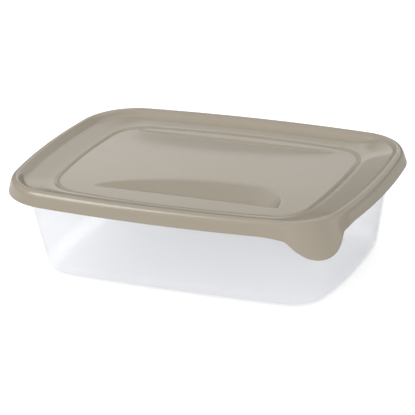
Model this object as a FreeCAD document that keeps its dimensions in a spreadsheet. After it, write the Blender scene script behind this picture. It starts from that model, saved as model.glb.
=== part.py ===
import FreeCAD, Part
import math
import os
import Sketcher

# A shut food storage container: a clear tapered tub with a thin wall, and a press-on lid with a
# rounded skirt, a dished border, a sunken panel with two leaf-shaped hollows, and a pull tab at one corner.
# Millimetres, +Z up. The origin is at the middle of the foot, +X runs along the length, and the
# tab is at the +X -Y corner.

V = FreeCAD.Vector
NODES = ("tub", "lid")
SIDES = ("front", "back")

# Driving sizes: alias, value in millimetres or degrees, what it is.
SIZES = [
    ("lid_half_length", 125.0, "lid, middle to the foot of the skirt at an end"),
    ("lid_half_width", 91.0, "lid, middle to the foot of the skirt at a side"),
    ("lid_corner", 42.0, "lid, corner radius at the foot of the skirt"),
    ("lid_end_bow", 414.0, "lid, radius of the bowed ends"),
    ("lid_side_bow", 977.0, "lid, radius of the bowed sides"),
    ("skirt_foot_inset", 0.0, "skirt foot, inset from the lid's outline"),
    ("skirt_foot_z", 61.0, "skirt foot, height"),
    ("skirt_head_inset", 2.4, "skirt head, inset"),
    ("skirt_head_z", 67.6, "skirt head, height"),
    ("bead_inset", 3.6, "outside of the bead, inset"),
    ("bead_z", 69.6, "outside of the bead, height"),
    ("ridge_inset", 6.4, "outside of the top ridge, inset"),
    ("ridge_z", 70.5, "top ridge, height"),
    ("dish_rim_inset", 7.6, "rim of the dished border, inset"),
    ("dish_slope_inset", 11.8, "foot of the border's steep part, inset"),
    ("dish_slope_z", 66.0, "foot of the border's steep part, height"),
    ("dish_floor_inset", 22.0, "inside of the border, inset"),
    ("dish_floor_z", 65.2, "inside of the border, height"),
    ("lid_wall", 1.3, "lid, wall thickness"),
    ("slant_wall", 0.9, "part of the wall that a slanted ring moves sideways"),
    ("panel_half_length", 93.0, "sunken panel, half length"),
    ("panel_half_width", 67.0, "sunken panel, half width"),
    ("panel_corner", 24.0, "sunken panel, corner radius"),
    ("panel_end_bow", 420.0, "sunken panel, radius of the bowed ends"),
    ("panel_side_bow", 640.0, "sunken panel, radius of the bowed sides"),
    ("panel_z", 64.2, "sunken panel, height"),
    ("front_edge", 50.0, "leaf hollow, straight outer edge of the front one from the middle"),
    ("back_edge", 57.5, "leaf hollow, straight outer edge of the back one from the middle"),
    ("pocket_crest", 33.0, "leaf hollow, its widest place along the length"),
    ("front_long", 95.0, "front leaf hollow, widest place to the pointed end"),
    ("front_short", 38.0, "front leaf hollow, widest place to the blunt end"),
    ("back_long", 103.0, "back leaf hollow, widest place to the pointed end"),
    ("back_short", 47.0, "back leaf hollow, widest place to the blunt end"),
    ("pocket_width", 31.0, "leaf hollow, greatest width"),
    ("pocket_slope", 6.0, "leaf hollow, slope of its floor in degrees"),
    ("tab_reach", 16.0, "pull tab, how far the flare that it lies on stands out of the skirt"),
    ("tab_drop", 11.0, "pull tab, how far its flare hangs below the skirt"),
    ("tab_lap", 2.5, "pull tab, how far its root laps up the skirt"),
    ("tab_wall", 1.9, "pull tab, thickness measured upright"),
    ("tab_x", 94.0, "pull tab, start of its axis along the length"),
    ("tab_y", 59.0, "pull tab, start of its axis across the width"),
    ("tab_angle", 47.0, "pull tab, angle of its axis to the length in degrees"),
    ("tab_tip", 21.7, "pull tab, start of its axis to the middle of its rounded tip"),
    ("tab_radius", 16.0, "pull tab, radius of its rounded tip"),
    ("tab_root", 33.0, "pull tab, half width at the start of its axis"),
    ("foot_half_length", 107.0, "tub foot, half length"),
    ("foot_half_width", 68.3, "tub foot, half width"),
    ("foot_corner", 26.0, "tub foot, corner radius"),
    ("foot_end_bow", 330.0, "tub foot, radius of the bowed ends"),
    ("foot_side_bow", 2000.0, "tub foot, radius of the bowed sides"),
    ("foot_round", 9.0, "tub, radius of the rounded bottom edge"),
    ("mouth_half_length", 117.0, "tub mouth, half length"),
    ("mouth_half_width", 78.0, "tub mouth, half width"),
    ("mouth_corner", 36.0, "tub mouth, corner radius"),
    ("mouth_end_bow", 420.0, "tub mouth, radius of the bowed ends"),
    ("mouth_side_bow", 2400.0, "tub mouth, radius of the bowed sides"),
    ("mouth_z", 62.8, "tub mouth, height of the wall"),
    ("tub_wall", 1.2, "tub, wall thickness"),
    ("tub_floor", 1.4, "tub, floor thickness"),
    ("collar", 1.2, "tub, thickness of the collar round the mouth"),
    ("rim_outer_inset", 5.2, "tub rim, outside, inset from the lid's outline"),
    ("rim_inner_inset", 6.7, "tub rim, inside, inset from the lid's outline"),
    ("rim_top_z", 68.7, "tub rim, height of its top"),
    ("overrun", 3.0, "how far a cutting shape runs past what it cuts"),
]
ROUND_STEPS = 5      # rings in a quarter of the tub's rounded bottom edge
POCKET_STEPS = 5     # sections of a leaf hollow on each side of its widest place
POCKET_SWEEP = 86    # degrees of a quarter turn that the leaf's outline covers
WALL_LEAN = 0.5      # sideways run of a leaf's steep wall for each unit of its depth
HALF = 0.5
ACROSS = FreeCAD.Rotation(V(1, 1, 1), 120)    # turns a sketch to face along the length

OUTLINE_PARTS = ("half_length", "half_width", "corner", "end_bow", "side_bow")


def make_sheet(doc):
    """Put the driving sizes in a spreadsheet, one aliased cell each."""
    sheet = doc.addObject("Spreadsheet::Sheet", "sizes")
    for row, (alias, value, note) in enumerate(SIZES, start=1):
        sheet.set(f"A{row}", note)
        sheet.set(f"B{row}", str(value))
        sheet.setAlias(f"B{row}", alias)
    doc.recompute()
    return sheet


def corner_arc(length, width, corner, end_bow, side_bow):
    """Centre of the corner arc that is tangent to the bowed end and the bowed side."""
    end_x = length - end_bow
    side_y = width - side_bow
    near_end = end_bow - corner
    near_side = side_bow - corner
    span = math.hypot(end_x, side_y)
    along = (near_end**2 - near_side**2 + span**2) / (2 * span)
    across = math.sqrt(near_end**2 - along**2)
    ux, uy = -end_x / span, side_y / span
    x = end_x + along * ux - across * uy
    y = along * uy + across * ux
    return V(x, y, 0), V(end_x, 0, 0), V(0, side_y, 0)


def outline(doc, sheet, name, family, inset, height):
    """A sketch of a rounded rectangle with bowed sides, fully constrained, at a height.

    inset is a list of (factor, alias) that moves every arc inwards, and height another for Z.
    """
    def shift(terms):
        number = sum(factor * sheet.get(alias) for factor, alias in terms)
        words = " ".join(f"+ ({factor:.6f}) * sizes.{alias}" for factor, alias in terms)
        return number, words

    inward, inward_words = shift(inset)
    level_words = shift(height)[1]
    a, b, r, end_r, side_r = (sheet.get(f"{family}_{part}") - inward for part in OUTLINE_PARTS)
    corner, end, side = corner_arc(a, b, r, end_r, side_r)
    at_end = math.atan2(corner.y, corner.x - end.x)
    at_side = math.atan2(corner.y - side.y, corner.x)

    sketch = doc.addObject("Sketcher::SketchObject", name)
    turn = math.pi
    arcs = [
        (end, end_r, -at_end, at_end),
        (corner, r, at_end, at_side),
        (side, side_r, at_side, turn - at_side),
        (V(-corner.x, corner.y, 0), r, turn - at_side, turn - at_end),
        (V(-end.x, 0, 0), end_r, turn - at_end, turn + at_end),
        (V(-corner.x, -corner.y, 0), r, turn + at_end, turn + at_side),
        (V(0, -side.y, 0), side_r, turn + at_side, 2 * turn - at_side),
        (V(corner.x, -corner.y, 0), r, 2 * turn - at_side, 2 * turn - at_end),
    ]
    for centre, radius, start, stop in arcs:
        sketch.addGeometry(Part.ArcOfCircle(Part.Circle(centre, V(0, 0, 1), radius), start, stop), False)

    start_point, end_point, centre_point = 1, 2, 3
    for i in range(len(arcs)):
        after = (i + 1) % len(arcs)
        sketch.addConstraint(Sketcher.Constraint("Tangent", i, end_point, after, start_point))
    for i, axis in ((0, -1), (2, -2), (4, -1), (6, -2)):
        sketch.addConstraint(Sketcher.Constraint("PointOnObject", i, centre_point, axis))
    for first, other in ((0, 4), (2, 6), (1, 3), (1, 5), (1, 7)):
        sketch.addConstraint(Sketcher.Constraint("Equal", first, other))

    def drive(kind, geometry, value, words):
        """Add one driving size and bind it to the sheet."""
        if kind == "Radius":
            row = sketch.addConstraint(Sketcher.Constraint(kind, geometry, value))
        else:
            row = sketch.addConstraint(Sketcher.Constraint(kind, geometry, centre_point, value))
        sketch.setExpression(f"Constraints[{row}]", words)

    def size_words(part):
        return f"sizes.{family}_{part} - (0 {inward_words})"

    drive("Radius", 0, end_r, size_words("end_bow"))
    drive("Radius", 2, side_r, size_words("side_bow"))
    drive("Radius", 1, r, size_words("corner"))
    for geometry, kind, size, bow in ((0, "DistanceX", "half_length", "end_bow"),
                                      (2, "DistanceY", "half_width", "side_bow")):
        words = f"sizes.{family}_{size} - sizes.{family}_{bow}"
        value = end.x if kind == "DistanceX" else side.y
        drive(kind, geometry, value, words)
        drive(kind, geometry + 4, -value, f"-({words})")
    sketch.setExpression("Placement.Base.z", f"0 {level_words}")
    return sketch


def loft(doc, name, sections):
    """A ruled solid through outline sketches."""
    shape = doc.addObject("Part::Loft", name)
    shape.Sections = sections
    shape.Solid = True
    shape.Ruled = True
    return shape


def ring_stack(doc, sheet, name, family, rings):
    """A ruled solid through outlines of one family, each given by its inset and its height."""
    sketches = []
    for number, (inset, height) in enumerate(rings):
        sketches.append(outline(doc, sheet, f"{name}_ring_{number}", family, inset, height))
    return loft(doc, name, sketches)


def cut(doc, name, base, tool):
    result = doc.addObject("Part::Cut", name)
    result.Base = base
    result.Tool = tool
    return result


def fuse(doc, name, shapes):
    result = doc.addObject("Part::MultiFuse", name)
    result.Shapes = shapes
    return result


def common(doc, name, shapes):
    result = doc.addObject("Part::MultiCommon", name)
    result.Shapes = shapes
    return result


def profile(doc, name, points):
    """A sketch of a closed straight-sided profile across the length.

    Each point is (its two expressions, its two values).
    """
    sketch = doc.addObject("Sketcher::SketchObject", name)
    sketch.Placement = FreeCAD.Placement(V(0, 0, 0), ACROSS)
    count = len(points)
    for i in range(count):
        (x1, y1), (x2, y2) = points[i][1], points[(i + 1) % count][1]
        sketch.addGeometry(Part.LineSegment(V(x1, y1, 0), V(x2, y2, 0)), False)
    for i in range(count):
        sketch.addConstraint(Sketcher.Constraint("Coincident", i, 2, (i + 1) % count, 1))
        for kind, value, words in zip(("DistanceX", "DistanceY"), points[i][1], points[i][0]):
            row = sketch.addConstraint(Sketcher.Constraint(kind, i, 1, value))
            sketch.setExpression(f"Constraints[{row}]", words)
    return sketch


def extrude(doc, name, base, length_words):
    """Pad a level sketch upright, both ways from its plane."""
    solid = doc.addObject("Part::Extrusion", name)
    solid.Base = base
    solid.DirMode = "Custom"
    solid.Dir = V(0, 0, 1)
    solid.Solid = True
    solid.Symmetric = True
    solid.setExpression("LengthFwd", length_words)
    return solid


def pocket(doc, sheet, name, side, margin, drop, above):
    """A leaf-shaped hollow in the panel: a straight steep wall on the outside, a floor that rises inwards.

    side is "front" or "back"; the back one is the front one turned half round. margin is a list of
    (factor, alias) that widens the leaf, drop one that lowers it, and above how far it stands over its rim.
    """
    size = {alias: sheet.get(alias) for alias, _, _ in SIZES}
    sense = 1 if side == "front" else -1

    def total(terms):
        number = sum(factor * size[alias] for factor, alias in terms)
        words = "(0 " + " ".join(f"+ ({factor}) * sizes.{alias}" for factor, alias in terms) + ")"
        return number, words

    more, more_words = total(margin)
    less, less_words = total(drop)
    top = size["panel_z"] - less
    top_words = f"sizes.panel_z - {less_words}"
    edge = size[f"{side}_edge"] + more
    edge_words = f"(sizes.{side}_edge + {more_words})"
    slope = math.tan(math.radians(size["pocket_slope"]))
    over, over_words = total(above)
    sections = []
    for step in range(-POCKET_STEPS, POCKET_STEPS + 1):
        turn = math.radians(POCKET_SWEEP * step / POCKET_STEPS)
        along, leaf = math.sin(turn), math.cos(turn)
        run = f"{side}_long" if step < 0 else f"{side}_short"
        x = size["pocket_crest"] + along * (size[run] + more)
        x_words = f"sizes.pocket_crest + ({along:.6f}) * (sizes.{run} + {more_words})"
        width = leaf * (size["pocket_width"] + 2 * more)
        width_words = f"({leaf:.6f} * (sizes.pocket_width + 2 * {more_words}))"
        depth = width * slope
        depth_words = f"{width_words} * tan(sizes.pocket_slope * 1 deg)"
        foot = depth * WALL_LEAN
        foot_words = f"{depth_words} * {WALL_LEAN}"
        corners = [
            ((f"-{edge_words}", f"{top_words} + {over_words}"), (-edge, top + over)),
            ((f"-{edge_words}", top_words), (-edge, top)),
            ((f"-{edge_words} + {foot_words}", f"{top_words} - {depth_words}"), (foot - edge, top - depth)),
            ((f"-{edge_words} + {width_words}", top_words), (width - edge, top)),
            ((f"-{edge_words} + {width_words}", f"{top_words} + {over_words}"), (width - edge, top + over)),
        ]
        if sense < 0:
            corners = [((f"-({across})", up), (-y, z)) for (across, up), (y, z) in corners]
        section = profile(doc, f"{name}_{step + POCKET_STEPS}", corners)
        section.setExpression("Placement.Base.x", f"{sense} * ({x_words})")
        sections.append(section)
    return loft(doc, name, sections)


def tab(doc, sheet, hollow):
    """The pull tab: a tongue cut out of a thin flare that hangs from the skirt."""
    shells = []
    for name, lowered in (("tab_flare", []), ("tab_flare_under", [(-1, "tab_wall")])):
        rings = [
            ([(-1, "tab_reach")], [(1, "skirt_foot_z"), (-1, "tab_drop")] + lowered),
            ([(HALF, "lid_wall")], [(1, "skirt_foot_z"), (1, "tab_lap")] + lowered),
        ]
        shells.append(ring_stack(doc, sheet, name, "lid", rings))
    flare = cut(doc, "tab_shell", *shells)

    tongue = doc.addObject("Sketcher::SketchObject", "tab_tongue_profile")
    angle = sheet.get("tab_angle")
    spot = V(sheet.get("tab_x"), -sheet.get("tab_y"), 0)
    tongue.Placement = FreeCAD.Placement(spot, FreeCAD.Rotation(V(0, 0, 1), -angle))
    tongue.setExpression("Placement.Base.x", "sizes.tab_x")
    tongue.setExpression("Placement.Base.y", "-sizes.tab_y")
    tongue.setExpression("Placement.Rotation.Angle", "-sizes.tab_angle")
    tip, radius, root = (sheet.get(alias) for alias in ("tab_tip", "tab_radius", "tab_root"))
    far = math.hypot(tip, root)
    lean = math.atan2(root, -tip) - math.acos(radius / far)
    touch = V(tip + radius * math.cos(lean), radius * math.sin(lean), 0)
    mirrored = V(touch.x, -touch.y, 0)
    tongue.addGeometry(Part.ArcOfCircle(Part.Circle(V(tip, 0, 0), V(0, 0, 1), radius), -lean, lean), False)
    tongue.addGeometry(Part.LineSegment(touch, V(0, root, 0)), False)
    tongue.addGeometry(Part.LineSegment(V(0, root, 0), V(0, -root, 0)), False)
    tongue.addGeometry(Part.LineSegment(V(0, -root, 0), mirrored), False)
    tongue.addConstraint(Sketcher.Constraint("Tangent", 0, 2, 1, 1))
    tongue.addConstraint(Sketcher.Constraint("Tangent", 3, 2, 0, 1))
    tongue.addConstraint(Sketcher.Constraint("Coincident", 1, 2, 2, 1))
    tongue.addConstraint(Sketcher.Constraint("Coincident", 2, 2, 3, 1))
    tongue.addConstraint(Sketcher.Constraint("PointOnObject", 0, 3, -1))
    tongue.addConstraint(Sketcher.Constraint("PointOnObject", 2, 1, -2))
    tongue.addConstraint(Sketcher.Constraint("PointOnObject", 2, 2, -2))
    for parts, words in ((("DistanceX", 0, 3, tip), "sizes.tab_tip"),
                         (("Radius", 0, radius), "sizes.tab_radius"),
                         (("DistanceY", 2, 1, root), "sizes.tab_root"),
                         (("DistanceY", 2, 2, -root), "-sizes.tab_root")):
        row = tongue.addConstraint(Sketcher.Constraint(*parts))
        tongue.setExpression(f"Constraints[{row}]", words)
    column = extrude(doc, "tab_tongue", tongue, "2 * sizes.ridge_z")
    return cut(doc, "tab", common(doc, "tab_blank", [flare, column]), hollow)


def make_lid(doc, sheet):
    """One thin piece: skirt, bead, dished border, sunken panel, two leaf hollows and pull tab."""
    outside = ring_stack(doc, sheet, "lid_outside", "lid", [
        ([(1, "skirt_foot_inset")], [(1, "skirt_foot_z")]),
        ([(1, "skirt_head_inset")], [(1, "skirt_head_z")]),
        ([(1, "bead_inset")], [(1, "bead_z")]),
        ([(1, "ridge_inset")], [(1, "ridge_z")]),
    ])
    dish = ring_stack(doc, sheet, "lid_dish", "lid", [
        ([(1, "dish_floor_inset")], [(1, "dish_floor_z")]),
        ([(1, "dish_slope_inset")], [(1, "dish_slope_z")]),
        ([(1, "dish_rim_inset")], [(1, "ridge_z")]),
    ])
    panel = ring_stack(doc, sheet, "lid_panel", "panel", [
        ([], [(1, "panel_z")]),
        ([], [(1, "dish_floor_z"), (1, "overrun")]),
    ])
    hollow = ring_stack(doc, sheet, "lid_hollow", "lid", [
        ([(1, "skirt_foot_inset"), (1, "lid_wall")], [(1, "skirt_foot_z"), (-1, "overrun")]),
        ([(1, "skirt_foot_inset"), (1, "lid_wall")], [(1, "skirt_foot_z")]),
        ([(1, "skirt_head_inset"), (1, "lid_wall")], [(1, "skirt_head_z")]),
        ([(1, "bead_inset"), (1, "lid_wall")], [(1, "bead_z"), (-HALF, "lid_wall")]),
        ([(1, "ridge_inset")], [(1, "ridge_z"), (-1, "lid_wall")]),
    ])
    dish_under = ring_stack(doc, sheet, "lid_dish_under", "lid", [
        ([(1, "dish_floor_inset")], [(1, "dish_floor_z"), (-1, "lid_wall")]),
        ([(1, "dish_slope_inset"), (-1, "slant_wall")], [(1, "dish_slope_z"), (-1, "lid_wall")]),
        ([(1, "dish_rim_inset"), (-1, "slant_wall")], [(1, "ridge_z"), (-1, "lid_wall")]),
    ])
    panel_under = ring_stack(doc, sheet, "lid_panel_under", "panel", [
        ([(-1, "slant_wall")], [(1, "panel_z"), (-1, "lid_wall")]),
        ([(-1, "slant_wall")], [(1, "dish_floor_z"), (-HALF, "lid_wall")]),
    ])
    wall = [(1, "slant_wall")]
    pockets = [pocket(doc, sheet, f"{side}_pocket", side, [], [], [(1, "overrun")]) for side in SIDES]
    swells = [pocket(doc, sheet, f"{side}_swell", side, wall, [(1, "lid_wall")], [(HALF, "lid_wall")])
              for side in SIDES]
    skin = cut(doc, "lid_skin", cut(doc, "lid_dished", outside, dish), panel)
    space = cut(doc, "lid_space", hollow, fuse(doc, "lid_floor", [dish_under, panel_under]))
    shell = cut(doc, "lid_shell", skin, space)
    raised = fuse(doc, "lid_raised", [shell, tab(doc, sheet, hollow), *swells])
    return cut(doc, "lid", raised, fuse(doc, "lid_pockets", pockets))


def wall_rings(doc, sheet, name, wall, floor):
    """Sketches of a tub wall: a rounded bottom edge, then the straight slanted wall."""
    sketches = []
    for step in range(ROUND_STEPS + 1):
        turn = math.radians(90 * step / ROUND_STEPS)
        inward = 1 - math.sin(turn)
        upward = 1 - math.cos(turn)
        inset = [(inward, "foot_round")] + [(1 - inward, alias) for alias in wall]
        height = [(upward, "foot_round")] + [(1 - upward, alias) for alias in floor]
        sketches.append(outline(doc, sheet, f"{name}_round_{step}", "foot", inset, height))
    return sketches


def make_tub(doc, sheet):
    """One thin open box: floor, slanted wall, and a collar with a rim that the lid snaps over."""
    outer = wall_rings(doc, sheet, "tub_wall", [], [])
    outer.append(outline(doc, sheet, "tub_wall_mouth", "mouth", [], [(1, "mouth_z")]))
    inner = wall_rings(doc, sheet, "tub_cavity", ["tub_wall"], ["tub_floor"])
    inner.append(outline(doc, sheet, "tub_cavity_mouth", "mouth", [(1, "tub_wall")], [(1, "mouth_z")]))
    inner.append(outline(doc, sheet, "tub_cavity_top", "mouth", [(1, "tub_wall")],
                         [(1, "rim_top_z"), (1, "overrun")]))
    rim = ring_stack(doc, sheet, "tub_rim", "lid", [
        ([(1, "rim_outer_inset")], [(1, "mouth_z")]),
        ([(1, "rim_outer_inset")], [(1, "rim_top_z")]),
    ])
    gutter = ring_stack(doc, sheet, "tub_gutter", "lid", [
        ([(1, "rim_inner_inset")], [(1, "mouth_z"), (1, "collar")]),
        ([(1, "rim_inner_inset")], [(1, "rim_top_z"), (1, "overrun")]),
    ])
    blank = fuse(doc, "tub_blank", [loft(doc, "tub_wall", outer), cut(doc, "tub_collar", rim, gutter)])
    return cut(doc, "tub", blank, loft(doc, "tub_cavity", inner))


def check(doc, names):
    """Stop when an object failed, or a sub-part has no sound single solid."""
    for thing in doc.Objects:
        if "Invalid" in thing.State or "Error" in thing.State:
            raise RuntimeError(f"{thing.Name} failed: {thing.State}")
    for name in names:
        shape = doc.getObject(name).Shape
        if shape.isNull() or not shape.isValid() or len(shape.Solids) != 1:
            raise RuntimeError(f"{name} has no sound single solid: {len(shape.Solids)} solids")


def main():
    doc = FreeCAD.newDocument("food_storage_container")
    sheet = make_sheet(doc)
    parts = [make_tub(doc, sheet), make_lid(doc, sheet)]
    for part, name in zip(parts, NODES):
        part.Label = name
        part.Placement = FreeCAD.Placement(V(0, 0, 0), FreeCAD.Rotation())
    doc.recompute()
    check(doc, NODES)
    overlap = parts[0].Shape.common(parts[1].Shape).Volume
    for part in parts:
        box = part.Shape.BoundBox
        print(part.Label, "volume", round(part.Shape.Volume), "faces", len(part.Shape.Faces),
              "box", [round(v, 2) for v in (box.XMin, box.YMin, box.ZMin, box.XMax, box.YMax, box.ZMax)])
    print("overlap of tub and lid", round(overlap, 3))
    os.makedirs("parts", exist_ok=True)
    for part in parts:
        part.Shape.exportStep(f"parts/{part.Label}.step")


main()
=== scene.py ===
import math

import bmesh
import bpy
from mathutils import Matrix, Vector


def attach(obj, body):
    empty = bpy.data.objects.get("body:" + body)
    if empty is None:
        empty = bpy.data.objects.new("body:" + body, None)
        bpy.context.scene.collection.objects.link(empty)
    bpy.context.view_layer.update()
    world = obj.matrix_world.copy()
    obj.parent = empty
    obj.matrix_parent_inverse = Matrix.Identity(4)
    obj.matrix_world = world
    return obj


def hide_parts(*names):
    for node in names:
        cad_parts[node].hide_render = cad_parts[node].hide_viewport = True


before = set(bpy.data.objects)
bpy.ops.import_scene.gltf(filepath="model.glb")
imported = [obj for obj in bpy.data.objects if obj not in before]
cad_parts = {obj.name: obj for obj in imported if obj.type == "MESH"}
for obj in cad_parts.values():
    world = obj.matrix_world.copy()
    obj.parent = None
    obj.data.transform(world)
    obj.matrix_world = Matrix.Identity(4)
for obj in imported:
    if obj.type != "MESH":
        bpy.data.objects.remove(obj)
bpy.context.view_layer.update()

bl_info = {
    "name": "Food storage container",
    "version": (1, 0, 0),
    "blender": (4, 5, 0),
    "location": "View3D > Sidebar > Food box",
    "description": "Builds a clear food storage box with a shallow taupe lid and a studio stage",
    "category": "Add Mesh",
}

MM = 0.001

# Lengths are in metres, unless a name or a comment says otherwise.

# Steps round a quarter of an outline: along its end, its corner and its side
LID_STEPS = (26, 56, 38)
TUB_STEPS = (10, 24, 18)
# Points are merged where a skin closes if they are nearer than this
MERGE = 2e-6

# The panel's skins: rings from the middle outwards, and the share of its outline that they reach
PANEL_RINGS, PANEL_REACH = 92, 0.985
UNDER_RINGS, UNDER_REACH = 30, 0.97
# Power of the curve at a leaf hollow's blunt end, and how fast its width falls past that end
BLUNT_POWER = 2.6
BLUNT_FALL = 5
# Rounding where a leaf hollow's floor meets its outer wall
LEAF_FOOT = 0.0004

# The lip from the panel to the border: way out of the panel's outline, and height over the panel
LIP_RISE = 0.0007
LIP = ((-0.0010, 0.00003), (-0.0003, 0.0002), (0.0005, 0.0005), (0.0012, LIP_RISE))
LIP_WIDTH = 0.0018
# The dished border: inset of its outer part, and the rings from the lip to there
DISH_INSET = 0.0215
BORDER_SHARES = (0.0, 0.05, 0.2, 0.5, 1.0)
UNDER_SHARES = (1.0, 0.0)
# Inset of the border's inner edge, and how much further in it lies at the ends
BORDER_INSET = 0.0225
BORDER_END_INSET = 0.007
# From where the border belongs to an end or to the front, and over what length it changes
END_START, END_RUN = 0.07, 0.028
FRONT_START, FRONT_RUN = 0.06, 0.015
BORDER_SOFT = 0.0006

# Sections of the lid's border in millimetres: inset, height and how far the corner is rounded
UPPER_SECTION = (
    (20, 65.1, 0), (12.0, 65.8, 3), (7.8, 70.4, 2.5), (5.4, 71.1, 1.4),
    (2.9, 70.1, 1.6), (1.7, 67.6, 1.8), (0.0, 61.6, 0),
)
UNDER_SECTION = (
    (1.6, 62.2, 0), (3.4, 67.6, 1.5), (4.7, 69.1, 1), (6.4, 69.7, 1),
    (7.0, 69.3, 1), (11.2, 64.6, 2), (20, 64.0, 0),
)
UPPER_ROUND_STEPS = 5
UNDER_ROUND_STEPS = 3
# The rounded lower edge of the skirt: inset and height
SKIRT_FOOT = ((-0.0002, 0.0611), (0.0003, 0.0609), (0.0009, 0.0609), (0.0013, 0.0613))

# The pull tab moves the rows that are nearer to the outline and lower than these
PULL_INSET = 0.006
PULL_TOP = 0.0695
# Height over which the pull grows, its power and its limit
PULL_HEIGHT = 0.0085
PULL_POWER = 1.4
PULL_MOST = 1.05
# Rows further in than this belong to the dished border
DISH_START = 0.008
# How far from the corner's centre, across either side, the tab still takes points
TAB_NEAR = 0.04
# The tab's flanks: how far they stand out, how they fall off, and how they run into the tip
FLANK_REACH = 0.0064
FLANK_POWER = 1.6
FLANK_SOFT = 0.006
# Stands for no tip beside the tab
NO_TIP = -0.004

# Rings of the tub's floor as shares of its flat part, and where the raised pad's edge lies in it
FLOOR_SHARES = (0, 0.2, 0.4, 0.6, 0.7, 0.725, 0.735, 0.745, 0.755, 0.78, 0.9)
PAD_SHARE = 0.74
PAD_EDGE = 0.02
# Rings over the rounded bottom edge, and up the wall
BEND_ROWS = 9
WALL_ROWS = 12
# Rounding of the rim's edges, and the height of the step inside it
RIM_SOFT = 0.0008
RIM_STEP = 0.0004

# Evenness of each material: fineness and detail of its noise
LID_TONE = (60, 3)
LID_GLOSS = (240, 2)
LID_GRAIN = (900, 2)
TUB_TONE = (30, 2)
FLOOR_TONE = (3, 2)
# Darkest and lightest share of each colour
LID_SPREAD = (0.975, 1.025)
TUB_SPREAD = (0.98, 1.02)
FLOOR_SPREAD = (0.99, 1)
# Refraction of both plastics, and how far the lid's roughness varies each way
PLASTIC_IOR = 1.49
ROUGH_SPREAD = 0.03
GRAIN_STRENGTH, GRAIN_HEIGHT = 0.05, 0.0004
# Roughness of the tub's haze, and the tint of what shows through its wall
TUB_ROUGH = 0.22
TUB_THROUGH = (0.978, 0.98, 0.987)
# How the haze gathers towards faces that are seen along their plane
FACING_BLEND = 0.5
ASLANT_POWER = 3
# Heights between which the tub's floor haze becomes the walls' haze
HAZE_LOW, HAZE_HIGH = 0.002, 0.014
# Colour sockets of a Mix node
MIX_DARK, MIX_LIGHT, MIX_RESULT = 6, 7, 2

# The stage's floor: half of its side, and its height. The sides of the round wall.
FLOOR_HALF = 4
FLOOR_Z = -0.0002
WALL_SEGMENTS = 96
# Soft lamps: name, place, width and height, and whether smooth faces mirror them
LAMPS = (
    ("key", (-1.0, -0.9, 1.1), (1.0, 1.0), True),
    ("fill", (1.3, -1.2, 0.5), (1.0, 0.8), False),
    ("top", (0.1, 0.7, 1.5), (1.2, 0.8), True),
)
LAMP_AIM = (0, 0, 0.05)
WHITE = (1, 1, 1, 1)
CLIP_NEAR, CLIP_FAR = 0.05, 40


# Sizes and colours

def size(name, millimetres, about):
    """A length property, with its default given in millimetres."""
    return bpy.props.FloatProperty(name=name, description=about, default=millimetres * MM,
                                   unit="LENGTH", precision=4)


def colour(name, rgb, about):
    """A colour property in scene-linear RGB."""
    return bpy.props.FloatVectorProperty(name=name, description=about, default=rgb, size=3,
                                         subtype="COLOR", min=0, max=1)


def plain(name, number, about):
    """A property without a unit."""
    return bpy.props.FloatProperty(name=name, description=about, default=number)


def turn(name, degrees, about):
    """An angle property, with its default given in degrees."""
    return bpy.props.FloatProperty(name=name, description=about, default=math.radians(degrees),
                                   subtype="ANGLE", unit="ROTATION")


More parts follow.
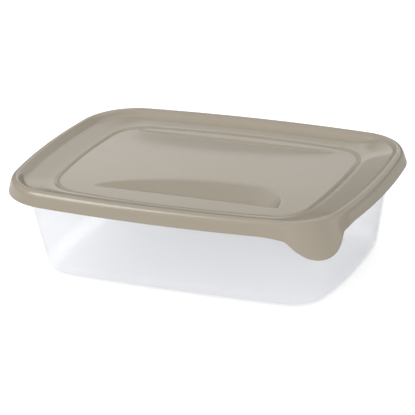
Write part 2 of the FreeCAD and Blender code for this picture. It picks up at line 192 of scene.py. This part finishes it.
class FoodBoxLid(bpy.types.PropertyGroup):
    lid_half_length: size("Half length", 126.2, "Lid outline, half length")
    lid_half_width: size("Half width", 91.8, "Lid outline, half width")
    lid_corner: size("Corner", 42, "Lid outline, corner radius")
    lid_end_bow: size("End bow", 414, "Lid outline, radius of the bowed ends")
    lid_side_bow: size("Side bow", 977, "Lid outline, radius of the bowed sides")
    panel_half_length: size("Panel half length", 95, "Sunken panel, half length")
    panel_half_width: size("Panel half width", 67, "Sunken panel, half width")
    panel_corner: size("Panel corner", 24, "Sunken panel, corner radius")
    panel_end_bow: size("Panel end bow", 420, "Sunken panel, radius of the bowed ends")
    panel_side_bow: size("Panel side bow", 640, "Sunken panel, radius of the bowed sides")
    panel_z: size("Panel height", 64.2, "Height of the sunken panel at its outline")
    bulge_x: size("Bulge along", 0.25, "How far the panel bulges along its length")
    bulge_y: size("Bulge across", 1.3, "How far the panel bulges across its width")
    leaf_crest: size("Leaf crest", 33, "Widest place of a leaf hollow along the length")
    front_long: size("Front leaf long run", 95, "Widest place to the pointed end")
    front_short: size("Front leaf short run", 38, "Widest place to the blunt end")
    back_long: size("Back leaf long run", 103, "Widest place to the pointed end")
    back_short: size("Back leaf short run", 47, "Widest place to the blunt end")
    leaf_width: size("Leaf width", 31, "Greatest width of a leaf hollow")
    leaf_wall: turn("Leaf wall", 50, "Slope of a leaf's outer wall")
    leaf_round: size("Leaf rounding", 2.5, "Rounding over a leaf's outer wall")
    leaf_soft: size("Leaf crease", 0.35, "How soft a leaf's inner crease is")
    front_edge: size("Front leaf edge", 50, "Straight outer edge of the front leaf")
    front_slope: turn("Front leaf slope", 7, "Slope of the front leaf's floor")
    front_full: plain("Front leaf fullness", 0.5, "0 is a parabola and 1 an ellipse")
    back_edge: size("Back leaf edge", 57.8, "Straight outer edge of the back leaf")
    back_slope: turn("Back leaf slope", 2.2, "Slope of the back leaf's floor")
    back_full: plain("Back leaf fullness", 1.0, "0 is a parabola and 1 an ellipse")
    left_slope: turn("Left border slope", 7, "Slope of the dished border at the left end")
    right_slope: turn("Right border slope", 12.2, "Slope of the dished border at the right end")
    front_border: turn("Front border slope", 9.5, "Slope of the dished border along the front")
    wall: size("Wall", 1.3, "Thickness")
    tab_angle: turn("Tab angle", -47.5, "Direction of the pull tab seen from the corner's centre")
    tab_reach: size("Tab reach", 11.8, "How far the tab's tip stands out of the outline")
    tab_radius: size("Tab radius", 18.5, "Radius of the tab's tip")
    tab_root: turn("Tab root", 47, "Half of the angle over which the tab grows out of the corner")
    tab_drop: size("Tab drop", 11.6, "How far the tab's tip hangs under the skirt")


class FoodBoxTub(bpy.types.PropertyGroup):
    foot_half_length: size("Foot half length", 107, "Half length at the bottom")
    foot_half_width: size("Foot half width", 68.3, "Half width at the bottom")
    foot_corner: size("Foot corner", 26, "Corner radius at the bottom")
    foot_end_bow: size("Foot end bow", 330, "Radius of the bowed ends at the bottom")
    foot_side_bow: size("Foot side bow", 2000, "Radius of the bowed sides at the bottom")
    mouth_half_length: size("Mouth half length", 117, "Half length at the mouth")
    mouth_half_width: size("Mouth half width", 78, "Half width at the mouth")
    mouth_corner: size("Mouth corner", 36, "Corner radius at the mouth")
    mouth_end_bow: size("Mouth end bow", 420, "Radius of the bowed ends at the mouth")
    mouth_side_bow: size("Mouth side bow", 2400, "Radius of the bowed sides at the mouth")
    foot_round: size("Bottom rounding", 9, "Radius of the rounded bottom edge")
    mouth_z: size("Mouth height", 62.8, "Height of the collar under the lid")
    rim_z: size("Rim height", 68.7, "Height of the rim inside the lid")
    rim_outer: size("Rim outside", 5.2, "Outside of the rim, from the lid's outline")
    rim_inner: size("Rim inside", 6.7, "Inside of the rim, from the lid's outline")
    wall: size("Wall", 1.2, "Thickness")
    floor: size("Floor", 1.4, "Thickness of the floor")
    pad_rise: size("Pad rise", 0.4, "How far the middle of the floor stands up")


class FoodBoxLook(bpy.types.PropertyGroup):
    lid: colour("Lid", (0.318, 0.282, 0.225), "Taupe plastic")
    lid_rough: plain("Lid roughness", 0.17, "Roughness of the lid")
    tub: colour("Tub", (0.94, 0.95, 0.98), "Milky tint of the clear plastic")
    tub_clear: plain("Tub clearness", 0.885, "How much shows through a wall seen straight on")
    tub_edge: plain("Tub edge clearness", 0.74, "How much shows through a wall seen along its face")
    tub_floor: plain("Tub floor haze", 0.45, "Share of the walls' haze that the floor has")
    floor: colour("Floor", (0.62, 0.62, 0.62), "Studio floor")


class FoodBoxStudio(bpy.types.PropertyGroup):
    azimuth: turn("Azimuth", 25.306, "Camera direction")
    elevation: turn("Elevation", 22.279, "Camera height over the horizon")
    roll: turn("Roll", -3.029, "Camera roll")
    distance: size("Distance", 1710.5, "Camera to target")
    lens: plain("Lens", 216.87, "Focal length on a 36 mm sensor")
    target_x: size("Target X", -3, "Point that the camera looks at")
    target_y: size("Target Y", 2, "Point that the camera looks at")
    target_z: size("Target Z", 35.75, "Point that the camera looks at")
    world: plain("World light", 0.62, "Strength of the light from all round")
    gap: plain("Gap", 0.06, "What smooth faces mirror above the wall")
    wall: plain("Wall", 1.22, "Brightness of the low white wall that smooth faces mirror")
    wall_radius: size("Wall radius", 12000, "Wall to the middle of the stage")
    wall_top: turn("Wall top", 36.5, "Upper edge of the white band over the horizon")
    wall_full: turn("Wall full", 32, "Where the band is full again under its upper edge")
    wall_low: turn("Wall low", 17, "Where the band is still full over its lower edge")
    wall_foot: turn("Wall foot", 13, "Lower edge of the white band")
    wall_dim: plain("Wall dim", 0.08, "Brightness under the band")
    wall_rest: turn("Wall rest", 21, "Where the band starts to dim upwards")
    wall_high: turn("Wall high", 28, "Where the band has dimmed")
    wall_share: plain("Wall share", 0.66, "Brightness of the band's upper part against its lower")
    wall_tilt: plain("Wall tilt", 0.12, "How much brighter the band is at its left than its right")
    wall_right: turn("Wall right side", -22.5, "Direction from +Y where the band is dimmest")
    wall_near: turn("Wall near side", -31, "Direction from +Y where the band fades to the left")
    wall_far: turn("Wall far side", -35, "Direction from +Y where the band has faded")
    floor_glow: plain("Floor glow", 0.68, "How far the white floor is lifted over its own shade")
    fill: plain("Fill light", 13.0, "Power of the soft light from the front right")
    key: plain("Key light", 18.8, "Power of the large soft light on the left")
    top: plain("Top light", 2.5, "Power of the light from over and behind")


# Outlines

def corner_centre(a, b, r, end_r, side_r):
    """Centre of the corner arc that touches a bowed end and a bowed side."""
    end_x, side_y = a - end_r, b - side_r
    near_end, near_side = end_r - r, side_r - r
    span = math.hypot(end_x, side_y)
    along = (near_end ** 2 - near_side ** 2 + span ** 2) / (2 * span)
    across = math.sqrt(near_end ** 2 - along ** 2)
    ux, uy = -end_x / span, side_y / span
    return end_x + along * ux - across * uy, along * uy + across * ux


def outline(sizes, family, inset, steps):
    """Points round a bowed, rounded rectangle that is moved inwards."""
    names = ("half_length", "half_width", "corner", "end_bow", "side_bow")
    a, b, r, end_r, side_r = (getattr(sizes, f"{family}_{n}") - inset for n in names)
    x, y = corner_centre(a, b, r, end_r, side_r)
    at_end = math.atan2(y, x - (a - end_r))
    at_side = math.atan2(y - (b - side_r), x)
    arcs = (
        (a - end_r, 0, end_r, 0, at_end),
        (x, y, r, at_end, at_side),
        (0, b - side_r, side_r, at_side, math.pi / 2),
    )
    quarter = []
    for (cx, cy, radius, start, stop), n in zip(arcs, steps):
        for i in range(n):
            t = start + (stop - start) * i / n
            quarter.append((cx + radius * math.cos(t), cy + radius * math.sin(t)))
    half = quarter + [(0, b)] + [(-px, py) for px, py in reversed(quarter[1:])]
    return half + [(-px, -py) for px, py in half]


def mix_rings(a, b, t):
    return [(p[0] + (q[0] - p[0]) * t, p[1] + (q[1] - p[1]) * t) for p, q in zip(a, b)]


def scaled(ring, s):
    return [(x * s, y * s) for x, y in ring]


def raised(ring, z):
    return [Vector((x, y, z)) for x, y in ring]


def rounded(section, steps):
    """Points in metres along a section given in millimetres, with its inner corners rounded."""
    points = [tuple(value * MM for value in point) for point in section]
    out = [points[0][:2]]
    for before, here, after in zip(points, points[1:], points[2:]):
        p, q, r = (Vector(v[:2]) for v in (before, here, after))
        start = q + (p - q).normalized() * min(here[2], (p - q).length / 2)
        stop = q + (r - q).normalized() * min(here[2], (r - q).length / 2)
        for i in range(steps + 1):
            t = i / steps
            out.append(tuple(start * (1 - t) ** 2 + q * (2 * t * (1 - t)) + stop * t ** 2))
    out.append(points[-1][:2])
    return out


def smooth_min(a, b, soft):
    h = min(max(0.5 + 0.5 * (b - a) / soft, 0), 1)
    return b + (a - b) * h - soft * h * (1 - h)


def smooth_max(a, b, soft):
    return -smooth_min(-a, -b, soft)


def smooth_step(t):
    t = min(max(t, 0), 1)
    return t * t * (3 - 2 * t)


# Pieces

def linked(name, bm):
    """An object of the scene made from a bmesh."""
    mesh = bpy.data.meshes.new(name)
    bm.to_mesh(mesh)
    bm.free()
    piece = bpy.data.objects.new(name, mesh)
    bpy.context.scene.collection.objects.link(piece)
    return piece


def shell(name, rows):
    """A closed skin whose rows run from one pole to the other, each a ring of the same count."""
    around = len(rows[0])
    bm = bmesh.new()
    bmesh.ops.create_grid(bm, x_segments=around, y_segments=len(rows) - 1, size=1)
    bm.verts.ensure_lookup_table()
    for i, v in enumerate(bm.verts):
        v.co = rows[i // (around + 1)][i % (around + 1) % around]
    bmesh.ops.remove_doubles(bm, verts=bm.verts, dist=MERGE)
    bmesh.ops.recalc_face_normals(bm, faces=bm.faces)
    for face in bm.faces:
        face.smooth = True
    return linked(name, bm)


def leaf_reach(s, x, long_run, short_run, full):
    """Width of a leaf hollow at a place along the length, below nothing past its ends."""
    if x < s.leaf_crest:
        u = (s.leaf_crest - x) / long_run
        if u >= 1:
            return (1 - u) * s.leaf_width
        return s.leaf_width * (full * math.sqrt(1 - u * u) + (1 - full) * (1 - u * u))
    u = (x - s.leaf_crest) / short_run
    if u >= 1:
        return (1 - u) * s.leaf_width * BLUNT_FALL
    return s.leaf_width * (1 - u ** BLUNT_POWER) ** (1 / BLUNT_POWER)


def panel_height(s, x, y):
    """Height of the sunken panel, which bulges a little and has a leaf hollow in front and behind.

    The hollow behind is the front one turned round, with an edge, a slope and runs of its own.
    """
    bulge = (s.bulge_x * (1 - (x / s.panel_half_length) ** 2)
             + s.bulge_y * (1 - (y / s.panel_half_width) ** 2))
    height = s.panel_z + max(bulge, 0)
    steep = math.tan(s.leaf_wall)
    for side, edge, slope, long_run, short_run, full in (
            (1, s.front_edge, s.front_slope, s.front_long, s.front_short, s.front_full),
            (-1, s.back_edge, s.back_slope, s.back_long, s.back_short, s.back_full)):
        inward = side * y + edge
        if inward <= 0:
            continue
        if inward < s.leaf_round:
            wall = steep * inward ** 2 / (2 * s.leaf_round)
        else:
            wall = steep * (inward - s.leaf_round / 2)
        reach = leaf_reach(s, side * x, long_run, short_run, full)
        floor = math.tan(slope) * (reach - inward)
        height -= smooth_max(smooth_min(floor, wall, LEAF_FOOT), 0, s.leaf_soft)
    return height


def panel_row(s, panel, share, drop=0.0):
    """A ring of the panel at a share of its outline, drop under the upper skin."""
    return [Vector((x, y, panel_height(s, x, y) - drop)) for x, y in scaled(panel, share)]


def end_share(x):
    """How much a place along the length belongs to the lid's ends."""
    return smooth_step((abs(x) - END_START) / END_RUN)


def border_start(x):
    """Inset of the dished border's inner edge, which lies further in at the ends."""
    return BORDER_INSET + BORDER_END_INSET * end_share(x)


def border_height(s, x, y, inset, z):
    """Height of the dished border, which is one even slope at the ends and along the front."""
    at_end = end_share(x)
    at_front = smooth_step((-y - FRONT_START) / FRONT_RUN) * (1 - at_end)
    end_slope = s.right_slope if x > 0 else s.left_slope
    slope = math.tan(end_slope) * at_end + math.tan(s.front_border) * at_front
    ramp = s.panel_z + LIP_RISE + slope * (border_start(x) - inset)
    if slope <= 0 or ramp <= z - BORDER_SOFT:
        return z
    return smooth_max(z, ramp, BORDER_SOFT)


def border_row(s, inner, dish, t, drop=0.0):
    """A ring of the border's inner part, at a share of the way from the lip to the dish."""
    row = []
    for x, y in mix_rings(inner, dish, t):
        inset = border_start(x) * (1 - t) + DISH_INSET * t
        row.append(Vector((x, y, border_height(s, x, y, inset, s.panel_z + LIP_RISE) - drop)))
    return row


def tab_corner(s):
    """Centre of the lid's corner arcs, measured from the middle of the lid."""
    return corner_centre(s.lid_half_length, s.lid_half_width, s.lid_corner,
                         s.lid_end_bow, s.lid_side_bow)


def tab_grow(s, ring):
    """How far each point of the lid's outline is pulled outwards to make the pull tab."""
    cx, cy = tab_corner(s)
    middle = s.lid_corner + s.tab_reach - s.tab_radius
    out = []
    for x, y in ring:
        dx, dy = x - cx, y + cy
        off = abs(math.atan2(dy, dx) - s.tab_angle)
        if off >= s.tab_root or dx < -TAB_NEAR or dy > TAB_NEAR:
            out.append(0.0)
            continue
        side = middle * math.sin(off)
        if side < s.tab_radius:
            bow = math.sqrt(s.tab_radius ** 2 - side ** 2)
            tip = middle * math.cos(off) + bow - s.lid_corner
        else:
            tip = NO_TIP
        flank = FLANK_REACH * (1 - off / s.tab_root) ** FLANK_POWER
        out.append(max(smooth_max(tip, flank, FLANK_SOFT), 0.0))
    return out


def skirt_row(s, inset, z, grow, drop=0.0):
    """A row of the lid's border. Under the bead the pull tab pulls it outwards and down.

    drop is how far the row lies under the upper skin.
    """
    pull = 0.0
    if inset < PULL_INSET and z < PULL_TOP:
        pull = min(((PULL_TOP - z) / PULL_HEIGHT) ** PULL_POWER, PULL_MOST)
    cx, cy = tab_corner(s)
    row = []
    for (x, y), g in zip(outline(s, "lid", inset, LID_STEPS), grow):
        if inset > DISH_START:
            row.append(Vector((x, y, border_height(s, x, y, inset, z + drop) - drop)))
        elif g and pull:
            out = Vector((x - cx, y + cy, 0)).normalized() * g * pull
            down = Vector((0, 0, g / s.tab_reach * s.tab_drop * pull))
            row.append(Vector((x, y, z)) + out - down)
        else:
            row.append(Vector((x, y, z)))
    return row


def lid_rows(s):
    """Rings of the lid's skin, from the middle of its top round the skirt to its underside."""
    grow = tab_grow(s, outline(s, "lid", 0, LID_STEPS))
    panel = outline(s, "panel", 0, LID_STEPS)
    inner = outline(s, "panel", -LIP_WIDTH, LID_STEPS)
    dish = outline(s, "lid", DISH_INSET, LID_STEPS)
    upper = rounded(UPPER_SECTION, UPPER_ROUND_STEPS)
    under = rounded(UNDER_SECTION, UNDER_ROUND_STEPS)
    rows = [panel_row(s, panel, i / PANEL_RINGS * PANEL_REACH) for i in range(PANEL_RINGS + 1)]
    rows += [raised(outline(s, "panel", -out, LID_STEPS), s.panel_z + rise) for out, rise in LIP]
    rows += [border_row(s, inner, dish, t) for t in BORDER_SHARES]
    rows += [skirt_row(s, inset, z, grow) for inset, z in upper]
    rows += [skirt_row(s, inset, z, grow) for inset, z in SKIRT_FOOT]
    rows += [skirt_row(s, inset, z, grow, s.wall) for inset, z in under]
    rows += [border_row(s, inner, dish, t, s.wall) for t in UNDER_SHARES]
    rows += [panel_row(s, panel, i / UNDER_RINGS * UNDER_REACH, s.wall)
             for i in range(UNDER_RINGS, -1, -1)]
    return rows


def tub_rows(s, lid):
    """Rings of the tub's skin, from the middle of its foot over the rim to its floor."""
    foot = outline(s, "foot", s.foot_round, TUB_STEPS)

    def floor_row(t, z):
        rise = s.pad_rise * smooth_step((PAD_SHARE + PAD_EDGE - t) / (2 * PAD_EDGE))
        return raised(scaled(foot, t), z + rise)

    def bend_row(i, wall, floor):
        a = math.radians(90 * i / BEND_ROWS)
        inset = wall + (s.foot_round - wall) * (1 - math.sin(a))
        z = floor + (s.foot_round - floor) * (1 - math.cos(a))
        return raised(outline(s, "foot", inset, TUB_STEPS), z)

    def wall_row(i, wall):
        t = i / WALL_ROWS
        base, mouth = (outline(s, family, wall, TUB_STEPS) for family in ("foot", "mouth"))
        z = s.foot_round + (s.mouth_z + wall - s.foot_round) * t
        return raised(mix_rings(base, mouth, t), z)

    rim = (
        (s.rim_outer + RIM_SOFT, s.mouth_z), (s.rim_outer, s.mouth_z + RIM_SOFT),
        (s.rim_outer, s.rim_z - RIM_SOFT), (s.rim_outer + RIM_SOFT, s.rim_z),
        (s.rim_inner - RIM_SOFT, s.rim_z), (s.rim_inner, s.rim_z - RIM_SOFT),
        (s.rim_inner, s.mouth_z + s.wall + RIM_STEP),
    )
    rows = [floor_row(t, 0) for t in FLOOR_SHARES]
    rows += [bend_row(i, 0, 0) for i in range(BEND_ROWS + 1)]
    rows += [wall_row(i, 0) for i in range(1, WALL_ROWS + 1)]
    rows += [raised(outline(lid, "lid", inset, TUB_STEPS), z) for inset, z in rim]
    rows += [wall_row(i, s.wall) for i in range(WALL_ROWS, -1, -1)]
    rows += [bend_row(i, s.wall, s.floor) for i in range(BEND_ROWS - 1, -1, -1)]
    rows += [floor_row(t, s.floor) for t in reversed(FLOOR_SHARES)]
    return rows


# Materials

def new_material(name):
    """An empty material, with its node tree and its output."""
    material = bpy.data.materials.new(name)
    material.use_nodes = True
    tree = material.node_tree
    tree.nodes.clear()
    return material, tree, tree.nodes.new("ShaderNodeOutputMaterial")


def add(tree, kind, **settings):
    """A node with its plain settings and its unlinked inputs filled in."""
    node = tree.nodes.new(kind)
    for key, value in settings.items():
        if key in node.inputs:
            node.inputs[key].default_value = value
        else:
            setattr(node, key, value)
    return node


def speckle_group():
    """The shared node group that gives an even noise, centred on the piece, between two values."""
    group = bpy.data.node_groups.get("speckle")
    if group:
        return group
    group = bpy.data.node_groups.new("speckle", "ShaderNodeTree")
    for name, default in (("Scale", 60), ("Detail", 2), ("Low", 0), ("High", 1)):
        socket = group.interface.new_socket(name, in_out="INPUT", socket_type="NodeSocketFloat")
        socket.default_value = default
    group.interface.new_socket("Value", in_out="OUTPUT", socket_type="NodeSocketFloat")
    given = group.nodes.new("NodeGroupInput")
    result = group.nodes.new("NodeGroupOutput")
    place = group.nodes.new("ShaderNodeTexCoord")
    centre = group.nodes.new("ShaderNodeMapping")
    noise = group.nodes.new("ShaderNodeTexNoise")
    span = group.nodes.new("ShaderNodeMapRange")
    group.links.new(place.outputs["Object"], centre.inputs["Vector"])
    group.links.new(centre.outputs["Vector"], noise.inputs["Vector"])
    group.links.new(given.outputs["Scale"], noise.inputs["Scale"])
    group.links.new(given.outputs["Detail"], noise.inputs["Detail"])
    group.links.new(noise.outputs["Fac"], span.inputs["Value"])
    group.links.new(given.outputs["Low"], span.inputs["To Min"])
    group.links.new(given.outputs["High"], span.inputs["To Max"])
    group.links.new(span.outputs["Result"], result.inputs["Value"])
    return group


def speckle(tree, scale, detail, low=0, high=1):
    """The shared noise, between two values."""
    node = tree.nodes.new("ShaderNodeGroup")
    node.node_tree = speckle_group()
    for name, value in (("Scale", scale), ("Detail", detail), ("Low", low), ("High", high)):
        node.inputs[name].default_value = value
    return node.outputs["Value"]


def mottled(tree, rgb, spread, tone):
    """A colour that varies a little between a darker and a lighter share of itself."""
    low, high = spread
    node = add(tree, "ShaderNodeMix", data_type="RGBA", blend_type="MIX")
    node.inputs[MIX_DARK].default_value = (*[c * low for c in rgb], 1)
    node.inputs[MIX_LIGHT].default_value = (*[min(c * high, 1) for c in rgb], 1)
    tree.links.new(speckle(tree, *tone), node.inputs[0])
    return node.outputs[MIX_RESULT]


def ranged(tree, value, low, high):
    """A value between 0 and 1 that is spread between two others."""
    node = add(tree, "ShaderNodeMapRange")
    node.inputs["To Min"].default_value = low
    node.inputs["To Max"].default_value = high
    tree.links.new(value, node.inputs["Value"])
    return node.outputs["Result"]


def faded(tree, value, start, stop, low, high):
    """A value that goes softly from low to high while another goes from start to stop."""
    node = add(tree, "ShaderNodeMapRange", interpolation_type="SMOOTHSTEP")
    for name, number in (("From Min", start), ("From Max", stop),
                         ("To Min", low), ("To Max", high)):
        node.inputs[name].default_value = number
    tree.links.new(value, node.inputs["Value"])
    return node.outputs["Result"]


def times(tree, a, b):
    """The product of two values."""
    node = add(tree, "ShaderNodeMath", operation="MULTIPLY")
    tree.links.new(a, node.inputs[0])
    tree.links.new(b, node.inputs[1])
    return node.outputs[0]


def blended(tree, share, first, second):
    """Two shaders, with the share of the second one."""
    node = add(tree, "ShaderNodeMixShader")
    tree.links.new(share, node.inputs["Fac"])
    tree.links.new(first.outputs[0], node.inputs[1])
    tree.links.new(second.outputs[0], node.inputs[2])
    return node.outputs[0]


def own_place(tree):
    """X, Y and Z in the piece's own frame."""
    place = add(tree, "ShaderNodeTexCoord")
    parts = add(tree, "ShaderNodeSeparateXYZ")
    tree.links.new(place.outputs["Object"], parts.inputs[0])
    return parts.outputs


def lid_material(look):
    """Opaque satin plastic with a fine grain."""
    material, tree, out = new_material("taupe_plastic")
    shader = add(tree, "ShaderNodeBsdfPrincipled", IOR=PLASTIC_IOR)
    tree.links.new(mottled(tree, look.lid, LID_SPREAD, LID_TONE), shader.inputs["Base Color"])
    rough = speckle(tree, *LID_GLOSS, look.lid_rough - ROUGH_SPREAD, look.lid_rough + ROUGH_SPREAD)
    tree.links.new(rough, shader.inputs["Roughness"])
    bump = add(tree, "ShaderNodeBump", Strength=GRAIN_STRENGTH, Distance=GRAIN_HEIGHT)
    tree.links.new(speckle(tree, *LID_GRAIN), bump.inputs["Height"])
    tree.links.new(bump.outputs["Normal"], shader.inputs["Normal"])
    tree.links.new(shader.outputs[0], out.inputs["Surface"])
    return material


def tub_material(look):
    """Clear plastic with a little haze, more of it where a wall is seen along its face."""
    material, tree, out = new_material("clear_plastic")
    shader = add(tree, "ShaderNodeBsdfPrincipled", IOR=PLASTIC_IOR, Roughness=TUB_ROUGH)
    tree.links.new(mottled(tree, look.tub, TUB_SPREAD, TUB_TONE), shader.inputs["Base Color"])
    clear = add(tree, "ShaderNodeBsdfTransparent")
    clear.inputs["Color"].default_value = (*TUB_THROUGH, 1)
    facing = add(tree, "ShaderNodeLayerWeight", Blend=FACING_BLEND)
    aslant = add(tree, "ShaderNodeMath", operation="POWER")
    aslant.inputs[1].default_value = ASLANT_POWER
    tree.links.new(facing.outputs["Facing"], aslant.inputs[0])
    haze = ranged(tree, aslant.outputs[0], 1 - look.tub_clear, 1 - look.tub_edge)
    share = faded(tree, own_place(tree)["Z"], HAZE_LOW, HAZE_HIGH, look.tub_floor, 1)
    solid = times(tree, haze, share)
    tree.links.new(blended(tree, solid, clear, shader), out.inputs["Surface"])
    return material


def floor_material(rgb, glow):
    """White paper that the camera sees a little brighter than its own shade."""
    material, tree, out = new_material("floor_paper")
    shader = add(tree, "ShaderNodeBsdfDiffuse")
    tree.links.new(mottled(tree, rgb, FLOOR_SPREAD, FLOOR_TONE), shader.inputs["Color"])
    path = add(tree, "ShaderNodeLightPath")
    lift = add(tree, "ShaderNodeEmission")
    tree.links.new(ranged(tree, path.outputs["Is Camera Ray"], 0, glow), lift.inputs["Strength"])
    both = add(tree, "ShaderNodeAddShader")
    tree.links.new(shader.outputs[0], both.inputs[0])
    tree.links.new(lift.outputs[0], both.inputs[1])
    tree.links.new(both.outputs[0], out.inputs["Surface"])
    return material


def wall_material(studio):
    """A white band that fades at its left and at both edges, and dims rightwards and upwards."""
    material, tree, out = new_material("white_wall")
    place = own_place(tree)
    aim = add(tree, "ShaderNodeMath", operation="ARCTAN2")
    tree.links.new(place["X"], aim.inputs[0])
    tree.links.new(place["Y"], aim.inputs[1])
    side = faded(tree, aim.outputs[0], studio.wall_far, studio.wall_near, studio.gap, 1)
    tilt = faded(tree, aim.outputs[0], studio.wall_near, studio.wall_right,
                 1 + studio.wall_tilt, 1 - studio.wall_tilt)
    level = times(tree, side, tilt)
    for low, high, start, stop in (
            (studio.wall_foot, studio.wall_low, studio.wall_dim, studio.wall),
            (studio.wall_rest, studio.wall_high, 1, studio.wall_share),
            (studio.wall_full, studio.wall_top, 1, studio.gap)):
        low_z, high_z = (math.tan(edge) * studio.wall_radius for edge in (low, high))
        level = times(tree, level, faded(tree, place["Z"], low_z, high_z, start, stop))
    light = add(tree, "ShaderNodeEmission")
    tree.links.new(level, light.inputs["Strength"])
    tree.links.new(light.outputs[0], out.inputs["Surface"])
    return material


# Stage

def add_floor(scene, studio):
    bm = bmesh.new()
    bmesh.ops.create_grid(bm, x_segments=2, y_segments=2, size=FLOOR_HALF)
    floor = linked("studio_floor", bm)
    floor.location.z = FLOOR_Z
    floor.data.materials.append(floor_material(scene.foodbox_look.floor, studio.floor_glow))
    return floor


def add_wall(studio):
    """A far round wall that only smooth faces mirror."""
    radius = studio.wall_radius
    height = math.tan(studio.wall_top) * radius
    bm = bmesh.new()
    bmesh.ops.create_cone(bm, segments=WALL_SEGMENTS, radius1=radius, radius2=radius, depth=height)
    bmesh.ops.translate(bm, verts=bm.verts, vec=(0, 0, height / 2))
    wall = linked("white_wall", bm)
    wall.data.materials.append(wall_material(studio))
    wall.visible_camera = wall.visible_diffuse = False
    wall.visible_shadow = wall.visible_transmission = False
    return wall


def add_lamp(name, place, extent, power, mirrored):
    """A soft light at a place, pointed at the box."""
    data = bpy.data.lights.new(name, "AREA")
    data.shape = "RECTANGLE"
    data.size, data.size_y = extent
    data.energy = power
    lamp = bpy.data.objects.new(name, data)
    lamp.location = place
    lamp.rotation_euler = (Vector(LAMP_AIM) - Vector(place)).to_track_quat("-Z", "Y").to_euler()
    lamp.visible_glossy = mirrored
    bpy.context.scene.collection.objects.link(lamp)


def add_world(scene, studio):
    """White to the camera, an even light to the pieces, and dark where smooth faces mirror it."""
    world = bpy.data.worlds.new("studio")
    scene.world = world
    world.use_nodes = True
    tree = world.node_tree
    tree.nodes.clear()
    out = tree.nodes.new("ShaderNodeOutputWorld")
    light = add(tree, "ShaderNodeBackground", Color=WHITE)
    white = add(tree, "ShaderNodeBackground", Color=WHITE, Strength=1.0)
    path = add(tree, "ShaderNodeLightPath")
    level = ranged(tree, path.outputs["Is Glossy Ray"], studio.world, studio.gap)
    tree.links.new(level, light.inputs["Strength"])
    both = blended(tree, path.outputs["Is Camera Ray"], light, white)
    tree.links.new(both, out.inputs["Surface"])


def add_camera(scene, studio):
    data = bpy.data.cameras.new("camera")
    data.lens = studio.lens
    data.clip_start, data.clip_end = CLIP_NEAR, CLIP_FAR
    camera = bpy.data.objects.new("camera", data)
    az, el, roll = studio.azimuth, studio.elevation, studio.roll
    back = Vector((math.sin(az) * math.cos(el), -math.cos(az) * math.cos(el), math.sin(el)))
    right = Vector((math.cos(az), math.sin(az), 0))
    up = back.cross(right)
    across = right * math.cos(roll) + up * math.sin(roll)
    upward = up * math.cos(roll) - right * math.sin(roll)
    turned = Matrix((across, upward, back)).transposed().to_4x4()
    target = Vector((studio.target_x, studio.target_y, studio.target_z))
    camera.matrix_world = Matrix.Translation(target + back * studio.distance) @ turned
    scene.collection.objects.link(camera)
    scene.camera = camera


# Operators

class FOODBOX_OT_lid(bpy.types.Operator):
    """Build the taupe lid with its sunken panel, leaf hollows and pull tab"""
    bl_idname = "foodbox.lid"
    bl_label = "Lid"

    def execute(self, context):
        piece = shell("lid_cover", lid_rows(context.scene.foodbox_lid))
        piece.data.materials.append(lid_material(context.scene.foodbox_look))
        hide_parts("lid")
        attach(piece, "root")
        return {"FINISHED"}


class FOODBOX_OT_tub(bpy.types.Operator):
    """Build the clear tub with its rounded bottom and rim"""
    bl_idname = "foodbox.tub"
    bl_label = "Tub"

    def execute(self, context):
        scene = context.scene
        piece = shell("tub_wall", tub_rows(scene.foodbox_tub, scene.foodbox_lid))
        piece.data.materials.append(tub_material(scene.foodbox_look))
        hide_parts("tub")
        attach(piece, "root")
        return {"FINISHED"}


class FOODBOX_OT_stage(bpy.types.Operator):
    """Build the pale floor, the soft lights, the white surroundings and the camera"""
    bl_idname = "foodbox.stage"
    bl_label = "Stage"

    def execute(self, context):
        scene = context.scene
        studio = scene.foodbox_studio
        floor = add_floor(scene, studio)
        wall = add_wall(studio)
        for name, place, extent, mirrored in LAMPS:
            add_lamp(name, place, extent, getattr(studio, name), mirrored)
        add_world(scene, studio)
        add_camera(scene, studio)
        scene.view_settings.view_transform = "Standard"
        return {"FINISHED"}


class FOODBOX_PT_panel(bpy.types.Panel):
    """Sidebar list of the pieces"""
    bl_idname = "FOODBOX_PT_panel"
    bl_label = "Food box"
    bl_space_type = "VIEW_3D"
    bl_region_type = "UI"
    bl_category = "Food box"

    def draw(self, context):
        column = self.layout.column()
        for operator in OPERATORS:
            column.operator(operator.bl_idname)
        for name, group in GROUPS.items():
            column.label(text=name)
            for key in group.__annotations__:
                column.prop(getattr(context.scene, name), key)


GROUPS = {
    "foodbox_lid": FoodBoxLid,
    "foodbox_tub": FoodBoxTub,
    "foodbox_look": FoodBoxLook,
    "foodbox_studio": FoodBoxStudio,
}
OPERATORS = (FOODBOX_OT_stage, FOODBOX_OT_tub, FOODBOX_OT_lid)
CLASSES = (*GROUPS.values(), *OPERATORS, FOODBOX_PT_panel)


def register():
    for cls in CLASSES:
        bpy.utils.register_class(cls)
    for name, group in GROUPS.items():
        setattr(bpy.types.Scene, name, bpy.props.PointerProperty(type=group))


def unregister():
    for name in GROUPS:
        delattr(bpy.types.Scene, name)
    for cls in reversed(CLASSES):
        bpy.utils.unregister_class(cls)


def main():
    register()
    bpy.ops.foodbox.stage()
    bpy.ops.foodbox.tub()
    bpy.ops.foodbox.lid()


if __name__ == "__main__":
    main()
